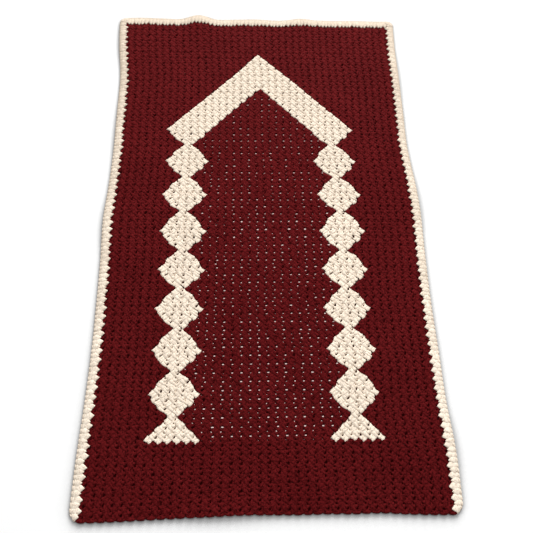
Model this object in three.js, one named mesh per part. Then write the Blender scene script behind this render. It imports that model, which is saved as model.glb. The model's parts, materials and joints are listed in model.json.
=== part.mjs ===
// Crochet prayer mat, laid out flat on the ground.
// Two worked pieces: the field, one cloth in rows of stitch clusters, and the edging,
// one cream band crocheted onto its left, head and right edges. The foot edge stays bare.
// Millimetres, +Z up. The mat lies across X, its foot end at -Y and its head end at +Y.
//
// The plan is drawn straight first, with "across" running from -WIDTH / 2 to WIDTH / 2
// and "along" from 0 at the foot to LENGTH at the head. layOut() then strays it and
// raises it in places, as hand-worked cloth lies.

import * as THREE from "three";

// Finished size of the mat
const WIDTH = 700;
const LENGTH = 1200;
const THICKNESS = 7;

// The field: clusters in a row, and rows worked in pairs, one leaning each way
const COLUMNS = 39;
const ROW_PAIRS = 66;
const BAND = 14; // edging, from its outer edge to the bottom of the notches between its teeth
const FIELD_HALF_WIDTH = WIDTH / 2 - BAND;
const FIELD_LENGTH = LENGTH - BAND;
const COLUMN_PITCH = (2 * FIELD_HALF_WIDTH) / COLUMNS;
const PAIR_PITCH = FIELD_LENGTH / ROW_PAIRS;

// The seam: the edging's stitches reach into the field as teeth, two to each repeat.
// Depths are beyond the band, and places are shares of the repeat from its first notch.
const SIDE_TEETH = { long: 8, notch: 1, short: 5 };
const HEAD_TEETH = { long: 8, notch: 1, short: 6 };
const TEETH_PLACES = { long: 0.28, notch: 0.53, short: 0.77 };
const SEAM_SHIFT = 0.65; // the field's side of the seam is moved inwards, about 0.3 mm clear at each flank

// Free edges are rounded: full plan size at mid height, drawn in above and below
const EDGE_INSET = 2.2;
const EDGE_ROUND = 2;
const SCALLOP_DEPTH = 1.8; // foot edge, one scallop to a cluster
const SCALLOP_POWER = 4; // of the cosine that cuts the notches, narrower than the scallops between them
const HEAD_CORNER_RADIUS = 13;
const FOOT_CORNER_RADIUS = 9;
const EDGING_END_RISE = 22; // height at which the edging's foot ends begin to round off

// How far each long edge strays outwards, by the distance along from the foot
const SIDE_STRAY = [
  { along: 0, left: 6.0, right: 1.5 },
  { along: 100, left: 4.5, right: 2.7 },
  { along: 200, left: 0.0, right: -1.3 },
  { along: 300, left: -2.7, right: -1.5 },
  { along: 400, left: -2.4, right: -2.2 },
  { along: 500, left: -1.0, right: 0.0 },
  { along: 600, left: 2.2, right: 3.2 },
  { along: 700, left: -2.0, right: 1.5 },
  { along: 800, left: -4.2, right: -4.0 },
  { along: 900, left: -2.6, right: -1.5 },
  { along: 1000, left: -1.0, right: -0.5 },
  { along: 1100, left: 9.0, right: 1.3 },
  { along: 1200, left: 15.0, right: 5.5 },
];

// How far the two short edges stray outwards, by the distance across from the left edge
const END_STRAY = [
  { across: -350, head: -3.0, foot: 3.0 },
  { across: -300, head: 0.5, foot: 3.0 },
  { across: -250, head: -0.5, foot: 2.0 },
  { across: -200, head: -2.0, foot: 0.5 },
  { across: -150, head: 5.5, foot: -1.0 },
  { across: -100, head: -2.5, foot: -2.0 },
  { across: -50, head: -1.0, foot: -3.5 },
  { across: 0, head: 0.5, foot: -3.0 },
  { across: 50, head: -3.0, foot: -2.0 },
  { across: 100, head: 1.5, foot: -2.5 },
  { across: 150, head: 0.0, foot: -1.5 },
  { across: 200, head: -1.0, foot: -2.0 },
  { across: 250, head: 0.0, foot: 1.0 },
  { across: 300, head: -1.0, foot: 3.0 },
  { across: 350, head: 0.0, foot: 3.5 },
];
const END_STRAY_REACH = 60; // the short edges' stray dies away over this distance inwards

// Places where the cloth stands off the ground a little, each a smooth swell
const SWELLS = [
  { across: -150, along: 1200, halfWidth: 48, halfLength: 90, rise: 7.0 },
  { across: 112, along: 1200, halfWidth: 42, halfLength: 70, rise: 3.5 },
  { across: -350, along: 1120, halfWidth: 60, halfLength: 110, rise: 3.0 },
  { across: -350, along: 830, halfWidth: 46, halfLength: 120, rise: 2.5 },
  { across: 350, along: 1010, halfWidth: 44, halfLength: 110, rise: 3.0 },
  { across: 350, along: 640, halfWidth: 52, halfLength: 100, rise: 4.0 },
  { across: -350, along: 590, halfWidth: 50, halfLength: 90, rise: 3.0 },
  { across: 350, along: 115, halfWidth: 50, halfLength: 90, rise: 3.0 },
  { across: -80, along: 0, halfWidth: 120, halfLength: 46, rise: 2.5 },
  { across: 215, along: 870, halfWidth: 80, halfLength: 120, rise: 2.0 },
  { across: -235, along: 300, halfWidth: 75, halfLength: 130, rise: 2.0 },
];

// Mesh fineness
const GRID_COLUMNS = 18;
const GRID_ROWS = 32;
const GRID_MARGIN = 32; // between the field's outline and the even grid inside it
const OUTER_STEP = 22; // along the edging's smooth outer edge
const SCALLOP_STEPS = 4;
const ARC_STEPS = 4;

// Value of one column of an evenly spaced table, on a smooth curve through its rows
function readTable(table, positionKey, valueKey, position) {
  const first = table[0][positionKey];
  const step = table[1][positionKey] - first;
  const last = table.length - 1;
  const place = THREE.MathUtils.clamp((position - first) / step, 0, last);
  const i = Math.min(Math.floor(place), last - 1);
  const t = place - i;
  const at = (k) => table[THREE.MathUtils.clamp(k, 0, last)][valueKey];
  const slopeIn = (at(i + 1) - at(i - 1)) / 2;
  const slopeOut = (at(i + 2) - at(i)) / 2;
  const rise = at(i + 1) - at(i);
  const squared = 3 * rise - 2 * slopeIn - slopeOut;
  const cubed = slopeIn + slopeOut - 2 * rise;
  return at(i) + t * (slopeIn + t * (squared + t * cubed));
}

// 1 in the middle of a swell, falling smoothly to 0 at its rim
function bell(offset, halfSize) {
  const share = Math.min(Math.abs(offset) / halfSize, 1);
  return (1 + Math.cos(Math.PI * share)) / 2;
}

// The ground clearance of the cloth at one place of the plan
function clearance(across, along) {
  let rise = 0;
  for (const swell of SWELLS) {
    const shareAcross = bell(across - swell.across, swell.halfWidth);
    const shareAlong = bell(along - swell.along, swell.halfLength);
    rise += swell.rise * shareAcross * shareAlong;
  }
  return rise;
}

// Takes a point of the straight plan, at a height in the cloth, to where it lies
function layOut(across, along, height) {
  const share = across / WIDTH + 0.5;
  const left = readTable(SIDE_STRAY, "along", "left", along);
  const right = readTable(SIDE_STRAY, "along", "right", along);
  const head = readTable(END_STRAY, "across", "head", across) * bell(LENGTH - along, END_STRAY_REACH);
  const foot = readTable(END_STRAY, "across", "foot", across) * bell(along, END_STRAY_REACH);
  return new THREE.Vector3(
    across + share * right - (1 - share) * left,
    along - LENGTH / 2 + head - foot,
    height + clearance(across, along),
  );
}

// A point of an outline: its place in the plan, and how far the cloth's top and bottom draw in there
function outlinePoint(across, along, inAcross = 0, inAlong = 0) {
  return { across, along, inAcross, inAlong };
}

// The toothed line between two corners, given as distance along the seam and depth into the field.
// Each repeat starts in the notch that reaches the band.
function toothedLine(start, pitch, repeats, teeth) {
  const line = [];
  for (let i = 0; i < repeats; i++) {
    const from = start + i * pitch;
    line.push({ at: from, depth: 0 });
    for (const [name, place] of Object.entries(TEETH_PLACES)) {
      line.push({ at: from + place * pitch, depth: teeth[name] });
    }
  }
  line.push({ at: start + repeats * pitch, depth: 0 });
  return line;
}

// The whole seam from its left foot end, up, across the head and down the right.
// A shift moves it into the field, and its head corners twice as far, whose flanks slant more.
function seamLine(shift) {
  const side = toothedLine(PAIR_PITCH / 2, PAIR_PITCH, ROW_PAIRS - 1, SIDE_TEETH);
  const head = toothedLine(-FIELD_HALF_WIDTH, COLUMN_PITCH, COLUMNS, HEAD_TEETH);
  const inner = FIELD_HALF_WIDTH - shift;
  const top = FIELD_LENGTH - shift;
  const left = side.map((p) => outlinePoint(-inner + p.depth, p.at));
  const right = side.map((p) => outlinePoint(inner - p.depth, p.at));
  const across = head.slice(1, -1).map((p) => outlinePoint(p.at, top - p.depth));
  const leftCorner = outlinePoint(-inner, top - shift);
  const rightCorner = outlinePoint(inner, top - shift);
  return [...left, leftCorner, ...across, rightCorner, ...right.reverse()];
}

// Points on a quarter of an ellipse, drawn in towards its centre above and below
function quarterArc(centreAcross, centreAlong, radiusAcross, radiusAlong, fromAngle, steps) {
  const points = [];
  for (let i = 0; i <= steps; i++) {
    const angle = fromAngle + (i / steps) * (Math.PI / 2);
    const c = Math.cos(angle);
    const s = Math.sin(angle);
    const across = centreAcross + radiusAcross * c;
    const along = centreAlong + radiusAlong * s;
    points.push(outlinePoint(across, along, -EDGE_INSET * c, -EDGE_INSET * s));
  }
  return points;
}

// Evenly spaced points strictly between two ends of a straight free edge
function straightEdge(from, to, step, toPoint) {
  const count = Math.max(Math.round(Math.abs(to - from) / step), 1);
  const points = [];
  for (let i = 1; i < count; i++) {
    points.push(toPoint(from + ((to - from) * i) / count));
  }
  return points;
}

// The field's outline, anticlockwise from the seam's foot end on the left
function fieldOutline() {
  const seam = seamLine(SEAM_SHIFT);
  const foot = seam[0];
  const half = -foot.across;
  const radius = FOOT_CORNER_RADIUS - SEAM_SHIFT;
  const leftArc = quarterArc(-half + radius, foot.along, radius, foot.along, Math.PI, ARC_STEPS);
  const rightArc = quarterArc(half - radius, foot.along, radius, foot.along, -Math.PI / 2, ARC_STEPS);
  const edge = straightEdge(-half + radius, half - radius, COLUMN_PITCH / SCALLOP_STEPS, (across) => {
    const phase = (across / COLUMN_PITCH - 0.5) * Math.PI;
    const notch = Math.pow(Math.cos(phase), SCALLOP_POWER);
    return outlinePoint(across, SCALLOP_DEPTH * notch, 0, EDGE_INSET);
  });
  const seamDown = [...seam].reverse();
  return [...leftArc.slice(1), ...edge, ...rightArc.slice(0, -1), ...seamDown];
}

// The edging's outline, anticlockwise from the outer side of its right foot end
function edgingOutline() {
  const seam = seamLine(0);
  const foot = seam[0];
  const side = WIDTH / 2;
  const radius = HEAD_CORNER_RADIUS;
  const rise = EDGING_END_RISE - foot.along;
  const rightUp = straightEdge(EDGING_END_RISE, LENGTH - radius, OUTER_STEP, (along) =>
    outlinePoint(side, along, -EDGE_INSET, 0),
  );
  const rightCorner = quarterArc(side - radius, LENGTH - radius, radius, radius, 0, ARC_STEPS);
  const headEdge = straightEdge(side - radius, -side + radius, OUTER_STEP, (across) =>
    outlinePoint(across, LENGTH, 0, -EDGE_INSET),
  );
  const leftCorner = quarterArc(-side + radius, LENGTH - radius, radius, radius, Math.PI / 2, ARC_STEPS);
  const leftDown = straightEdge(LENGTH - radius, EDGING_END_RISE, OUTER_STEP, (along) =>
    outlinePoint(-side, along, EDGE_INSET, 0),
  );
  const leftEnd = quarterArc(foot.across, EDGING_END_RISE, BAND, rise, Math.PI, ARC_STEPS);
  const rightEnd = quarterArc(-foot.across, EDGING_END_RISE, BAND, rise, -Math.PI / 2, ARC_STEPS);
  return [
    ...rightUp,
    ...rightCorner,
    ...headEdge,
    ...leftCorner,
    ...leftDown,
    ...leftEnd.slice(0, -1),
    ...seam,
    ...rightEnd.slice(1),
  ];
}

// Collects laid-out vertices and triangles for one closed sheet
class SheetBuilder {
  constructor() {
    this.positions = [];
    this.triangles = [];
  }

  vertex(across, along, height) {
    const place = layOut(across, along, height);
    this.positions.push(place.x, place.y, place.z);
    return this.positions.length / 3 - 1;
  }

  // The vertices that stand over one another at an outline point, from the bottom face to the top face
  column(point) {
    const drawn = point.inAcross !== 0 || point.inAlong !== 0;
    const across = point.across + point.inAcross;
    const along = point.along + point.inAlong;
    const bottom = this.vertex(across, along, 0);
    const top = this.vertex(across, along, THICKNESS);
    if (!drawn) {
      return [bottom, top];
    }
    const low = this.vertex(point.across, point.along, EDGE_ROUND);
    const high = this.vertex(point.across, point.along, THICKNESS - EDGE_ROUND);
    return [bottom, low, high, top];
  }

  // The wall between two neighbouring columns, which may have different numbers of vertices
  wall(first, second) {
    let i = 0;
    let j = 0;
    while (i < first.length - 1 || j < second.length - 1) {
      const firstShare = (i + 1) / first.length;
      const secondShare = (j + 1) / second.length;
      const stepFirst = j === second.length - 1 || (i < first.length - 1 && firstShare <= secondShare);
      if (stepFirst) {
        this.triangles.push(first[i], second[j], first[i + 1]);
        i += 1;
      } else {
        this.triangles.push(first[i], second[j], second[j + 1]);
        j += 1;
      }
    }
  }

  // One flat region, facing up or down
  face(trianglesUp, indexOf, facingUp) {
    for (const [a, b, c] of trianglesUp) {
      const corners = facingUp ? [a, b, c] : [a, c, b];
      this.triangles.push(...corners.map(indexOf));
    }
  }

  geometry() {
    const made = new THREE.BufferGeometry();
    made.setAttribute("position", new THREE.Float32BufferAttribute(this.positions, 3));
    made.setIndex(this.triangles);
    made.computeVertexNormals();
    return made;
  }
}

// The inner grid of the field: its plan points, its triangles and the loop round its rim, anticlockwise
function innerGrid() {
  const low = { across: -FIELD_HALF_WIDTH + GRID_MARGIN, along: GRID_MARGIN };
  const high = { across: FIELD_HALF_WIDTH - GRID_MARGIN, along: FIELD_LENGTH - GRID_MARGIN };
  const points = [];
  const triangles = [];
  const index = (column, row) => row * (GRID_COLUMNS + 1) + column;
  for (let row = 0; row <= GRID_ROWS; row++) {
    for (let column = 0; column <= GRID_COLUMNS; column++) {
      const across = THREE.MathUtils.lerp(low.across, high.across, column / GRID_COLUMNS);
      const along = THREE.MathUtils.lerp(low.along, high.along, row / GRID_ROWS);
      points.push(outlinePoint(across, along));
    }
  }
  for (let row = 0; row < GRID_ROWS; row++) {
    for (let column = 0; column < GRID_COLUMNS; column++) {
      const a = index(column, row);
      const b = index(column + 1, row);
      const c = index(column + 1, row + 1);
      const d = index(column, row + 1);
      triangles.push([a, b, c], [a, c, d]);
    }
  }
  const countTo = (count, toIndex) => Array.from({ length: count }, (_, i) => toIndex(i));
  const rim = [
    ...countTo(GRID_COLUMNS, (i) => index(i, 0)),
    ...countTo(GRID_ROWS, (i) => index(GRID_COLUMNS, i)),
    ...countTo(GRID_COLUMNS, (i) => index(GRID_COLUMNS - i, GRID_ROWS)),
    ...countTo(GRID_ROWS, (i) => index(0, GRID_ROWS - i)),
  ];
  return { points, triangles, rim };
}

// Where an outline point's top and bottom vertices lie, seen from above. Faces are cut into
// triangles here and not in the straight plan, so that none reaches over a straying edge.
function drawnPlace(point) {
  const place = layOut(point.across + point.inAcross, point.along + point.inAlong, 0);
  return new THREE.Vector2(place.x, place.y);
}

// A closed sheet with the given outline, and an even grid in its middle where one is given
function sheetGeometry(outline, grid) {
  const builder = new SheetBuilder();
  const columns = outline.map((point) => builder.column(point));
  columns.forEach((column, i) => builder.wall(column, columns[(i + 1) % columns.length]));
  const contour = outline.map(drawnPlace);
  const holes = grid ? [grid.rim.map((i) => drawnPlace(grid.points[i])).reverse()] : [];
  const ring = THREE.ShapeUtils.triangulateShape(contour, holes);
  for (const facingUp of [false, true]) {
    const height = facingUp ? THICKNESS : 0;
    const inner = grid ? grid.points.map((p) => builder.vertex(p.across, p.along, height)) : [];
    const rim = grid ? grid.rim.map((i) => inner[i]).reverse() : [];
    const outer = columns.map((column) => (facingUp ? column[column.length - 1] : column[0]));
    const around = [...outer, ...rim];
    builder.face(ring, (i) => around[i], facingUp);
    if (grid) {
      builder.face(grid.triangles, (i) => inner[i], facingUp);
    }
  }
  return builder.geometry();
}

const burgundyYarn = new THREE.MeshStandardMaterial({ color: 0x5c1418, roughness: 0.95, metalness: 0 });
const creamYarn = new THREE.MeshStandardMaterial({ color: 0xf2e2cc, roughness: 0.95, metalness: 0 });

const field = new THREE.Mesh(sheetGeometry(fieldOutline(), innerGrid()), burgundyYarn);
field.name = "field";

const edging = new THREE.Mesh(sheetGeometry(edgingOutline(), null), creamYarn);
edging.name = "edging";

const mat = new THREE.Group();
mat.add(field, edging);

// The straying edges leave the mat a little off centre, so it is moved back over the origin
const extent = new THREE.Box3().setFromObject(mat);
const centre = extent.getCenter(new THREE.Vector3());
mat.position.set(-centre.x, -centre.y, -extent.min.z);

export default mat;
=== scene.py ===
"""Crochet prayer mat: the yarn worked over the two packed sheets.

The cloth is built the way it is made. Rows of leaning stitches, two thick strands to a
stitch, lean one way in one row and the other way in the next, and each row's lower ends
lie over the row below. The pattern is charted stitch by stitch. A toothed edging runs
round three sides, and a thin ground sheet under the yarn stands for the yarn's own
inner layers; it is coloured darker than the yarn, as painted shade, so that the slits
between stitches are dark.

Everything is laid out straight first, in millimetres, on the same plan as the packed
sheets, and is then strayed and raised as they are.
"""

from __future__ import annotations

import json
import logging
import math
from dataclasses import dataclass, field
from enum import Enum
from typing import Callable, Iterable, NamedTuple

import bmesh
import bpy
import numpy as np
from mathutils import Matrix, Vector

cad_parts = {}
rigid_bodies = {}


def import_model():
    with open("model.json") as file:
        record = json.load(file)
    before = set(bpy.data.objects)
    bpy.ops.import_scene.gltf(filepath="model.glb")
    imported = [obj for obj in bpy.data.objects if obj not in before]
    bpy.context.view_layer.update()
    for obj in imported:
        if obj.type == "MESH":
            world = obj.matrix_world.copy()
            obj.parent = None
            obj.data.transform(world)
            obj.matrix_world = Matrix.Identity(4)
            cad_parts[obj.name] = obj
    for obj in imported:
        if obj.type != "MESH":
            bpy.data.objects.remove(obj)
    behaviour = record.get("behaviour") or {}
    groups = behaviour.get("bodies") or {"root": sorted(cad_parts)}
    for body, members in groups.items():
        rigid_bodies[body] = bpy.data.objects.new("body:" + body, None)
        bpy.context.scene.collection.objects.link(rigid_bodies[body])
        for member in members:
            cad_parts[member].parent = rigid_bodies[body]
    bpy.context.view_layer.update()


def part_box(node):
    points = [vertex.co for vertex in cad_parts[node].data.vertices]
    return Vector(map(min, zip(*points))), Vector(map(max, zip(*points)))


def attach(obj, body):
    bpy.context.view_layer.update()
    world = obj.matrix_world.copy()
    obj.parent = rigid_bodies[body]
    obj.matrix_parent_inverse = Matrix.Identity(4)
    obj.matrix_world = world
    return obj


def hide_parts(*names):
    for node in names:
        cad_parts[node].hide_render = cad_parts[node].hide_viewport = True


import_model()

LOG = logging.getLogger("prayer_mat")
MM = 0.001
BODY = "root"


class SideStray(NamedTuple):
    """How far the two long edges stray outwards at one distance from the foot."""

    along: float
    left: float
    right: float


class EndStray(NamedTuple):
    """How far the two short edges stray outwards at one distance across."""

    across: float
    head: float
    foot: float


class Swell(NamedTuple):
    """A place where the cloth stands off the ground a little."""

    across: float
    along: float
    half_width: float
    half_length: float
    rise: float


SIDE_STRAY = (
    SideStray(0, 6.0, 1.5),
    SideStray(100, 4.5, 2.7),
    SideStray(200, 0.0, -1.3),
    SideStray(300, -2.7, -1.5),
    SideStray(400, -2.4, -2.2),
    SideStray(500, -1.0, 0.0),
    SideStray(600, 2.2, 3.2),
    SideStray(700, -2.0, 1.5),
    SideStray(800, -4.2, -4.0),
    SideStray(900, -2.6, -1.5),
    SideStray(1000, -1.0, -0.5),
    SideStray(1100, 9.0, 1.3),
    SideStray(1200, 15.0, 5.5),
)

END_STRAY = (
    EndStray(-350, -3.0, 3.0),
    EndStray(-300, 0.5, 3.0),
    EndStray(-250, -0.5, 2.0),
    EndStray(-200, -2.0, 0.5),
    EndStray(-150, 5.5, -1.0),
    EndStray(-100, -2.5, -2.0),
    EndStray(-50, -1.0, -3.5),
    EndStray(0, 0.5, -3.0),
    EndStray(50, -3.0, -2.0),
    EndStray(100, 1.5, -2.5),
    EndStray(150, 0.0, -1.5),
    EndStray(200, -1.0, -2.0),
    EndStray(250, 0.0, 1.0),
    EndStray(300, -1.0, 3.0),
    EndStray(350, 0.0, 3.5),
)

SWELLS = (
    Swell(-150, 1200, 48, 90, 7.0),
    Swell(112, 1200, 42, 70, 3.5),
    Swell(-350, 1120, 60, 110, 3.0),
    Swell(-350, 830, 46, 120, 2.5),
    Swell(350, 1010, 44, 110, 3.0),
    Swell(350, 640, 52, 100, 4.0),
    Swell(-350, 590, 50, 90, 3.0),
    Swell(350, 115, 50, 90, 3.0),
    Swell(-80, 0, 120, 46, 2.5),
    Swell(215, 870, 80, 120, 2.0),
    Swell(-235, 300, 75, 130, 2.0),
)


class RowMark(NamedTuple):
    """Where one row of the stitch chart lies; the rows between two marks are even."""

    row: float
    along: float


class ColumnStray(NamedTuple):
    """How far the pattern's columns stray to the right at one distance from the foot."""

    along: float
    left: float
    middle: float
    right: float


ROW_MARKS = (
    RowMark(-0.6, 2),
    RowMark(16.25, 138),
    RowMark(32.25, 275),
    RowMark(46.25, 397),
    RowMark(62.25, 536),
    RowMark(70.25, 614),
    RowMark(90.25, 792),
    RowMark(106.25, 933),
    RowMark(117.9, 1040),
    RowMark(133.6, 1186),
)

COLUMN_STRAY = (
    ColumnStray(0, -2.0, 0.0, 0.0),
    ColumnStray(100, -3.0, 0.0, 0.0),
    ColumnStray(200, -4.0, 0.0, 0.3),
    ColumnStray(300, -5.5, -0.5, 1.7),
    ColumnStray(400, -3.0, -0.5, 0.7),
    ColumnStray(500, -0.5, 0.5, 1.0),
    ColumnStray(600, -1.0, 0.9, 2.0),
    ColumnStray(700, -0.7, 0.0, -1.5),
    ColumnStray(800, -0.2, -1.2, -3.0),
    ColumnStray(900, 0.0, -1.0, -1.5),
    ColumnStray(1000, 0.0, 0.0, 0.0),
    ColumnStray(1100, 0.0, 0.0, 0.0),
    ColumnStray(1200, 0.0, 0.0, 0.0),
)


def bell(offset: np.ndarray, half_size: float) -> np.ndarray:
    """1 in the middle of a swell, falling smoothly to 0 at its rim.

    Args:
        offset: Distances from the middle.
        half_size: Distance from the middle to the rim.

    Returns:
        The share of the full height at each distance.
    """
    share = np.minimum(np.abs(offset) / half_size, 1.0)
    return (1.0 + np.cos(math.pi * share)) / 2.0


def smooth_table(first: float, step: float, values: Iterable[float], at: np.ndarray) -> np.ndarray:
    """Reads an evenly spaced table on a smooth curve through its rows.

    Args:
        first: Position of the first row.
        step: Distance between rows.
        values: The column that is read.
        at: Positions to read it at.

    Returns:
        One value for each position.
    """
    column = np.array(list(values), float)
    last = len(column) - 1
    place = np.clip((np.asarray(at, float) - first) / step, 0, last)
    i = np.minimum(np.floor(place).astype(int), last - 1)
    t = place - i

    def row(k: np.ndarray) -> np.ndarray:
        """The table's value in a row, or in the nearest one that it has."""
        return column[np.clip(k, 0, last)]

    slope_in = (row(i + 1) - row(i - 1)) / 2
    slope_out = (row(i + 2) - row(i)) / 2
    rise = row(i + 1) - row(i)
    squared = 3 * rise - 2 * slope_in - slope_out
    cubed = slope_in + slope_out - 2 * rise
    return row(i) + t * (slope_in + t * (squared + t * cubed))


@dataclass
class Plan:
    """The straight plan of the mat, in millimetres, and how it is laid out.

    The plan has its middle line at 0 across, its foot edge at 0 along and the ground at
    height 0. The laid-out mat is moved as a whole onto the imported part's place.
    """

    width: float = 700.0
    length: float = 1200.0
    thickness: float = 7.0
    band: float = 14.0
    end_reach: float = 60.0
    foot_corner: float = 21.0
    edge_samples: int = 400
    shift: np.ndarray = field(default_factory=lambda: np.zeros(2))

    @property
    def field_half_width(self) -> float:
        """Half the width of the field, to the bottom of the edging's notches."""
        return self.width / 2 - self.band

    @property
    def field_length(self) -> float:
        """Length of the field, to the bottom of the head edging's notches."""
        return self.length - self.band

    def settle(self, low_across: float, high_along: float) -> None:
        """Moves the laid-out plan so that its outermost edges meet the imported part's.

        Args:
            low_across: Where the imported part's left edge lies furthest out, in mm.
            high_along: Where its head edge lies furthest out, in mm.
        """
        along = np.linspace(0, self.length - self.band, self.edge_samples)
        across = np.linspace(-self.width / 2, self.width / 2, self.edge_samples)
        left = self.laid_out(np.full_like(along, -self.width / 2), along, np.zeros_like(along))
        head = self.laid_out(across, np.full_like(across, self.length), np.zeros_like(across))
        self.shift = np.array([low_across - left[:, 0].min(), high_along - head[:, 1].max()])

    def clearance(self, across: np.ndarray, along: np.ndarray) -> np.ndarray:
        """How far the cloth stands off the ground.

        Args:
            across: Distances across, in mm.
            along: Distances from the foot, in mm.

        Returns:
            The clearance at each place, in mm.
        """
        rise = np.zeros_like(across)
        for swell in SWELLS:
            share = bell(across - swell.across, swell.half_width)
            rise += swell.rise * share * bell(along - swell.along, swell.half_length)
        return rise

    def laid_out(self, across: np.ndarray, along: np.ndarray, height: np.ndarray) -> np.ndarray:
        """Takes points of the straight plan to where they lie.

        Args:
            across: Distances across, in mm.
            along: Distances from the foot, in mm.
            height: Heights in the cloth, in mm.

        Returns:
            One row of x, y, z for each point, in mm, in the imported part's frame.
        """
        share = across / self.width + 0.5
        side_step = SIDE_STRAY[1].along - SIDE_STRAY[0].along
        end_step = END_STRAY[1].across - END_STRAY[0].across
        left = smooth_table(0, side_step, (s.left for s in SIDE_STRAY), along)
        right = smooth_table(0, side_step, (s.right for s in SIDE_STRAY), along)
        head = smooth_table(END_STRAY[0].across, end_step, (s.head for s in END_STRAY), across)
        foot = smooth_table(END_STRAY[0].across, end_step, (s.foot for s in END_STRAY), across)
        head = head * bell(self.length - along, self.end_reach)
        foot = foot * bell(along, self.end_reach)
        rounded = self._foot_rounded(across, along)
        x = rounded[0] + share * right - (1 - share) * left + self.shift[0]
        y = rounded[1] - self.length / 2 + head - foot + self.shift[1]
        return np.column_stack([x, y, height + self.clearance(across, along)])

    def _foot_rounded(self, across: np.ndarray, along: np.ndarray) -> tuple[np.ndarray, np.ndarray]:
        """Draws the square corners at the foot in to round ones.

        Args:
            across: Distances across, in mm.
            along: Distances from the foot, in mm.

        Returns:
            The drawn-in distances across and from the foot.
        """
        radius = self.foot_corner
        over = np.maximum(np.abs(across) - (self.width / 2 - radius), 0)
        down = np.maximum(radius - along, 0)
        drawn = np.maximum(over, down) / np.maximum(np.hypot(over, down), 1e-9)
        drawn = np.where((over > 0) & (down > 0), drawn, 1.0)
        x = across - np.sign(across) * over * (1 - drawn)
        return x, along + down * (1 - drawn)


class Lean(Enum):
    """Which way the stitches of a row lean as they rise, seen from above."""

    RIGHT = 1
    LEFT = -1


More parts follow.
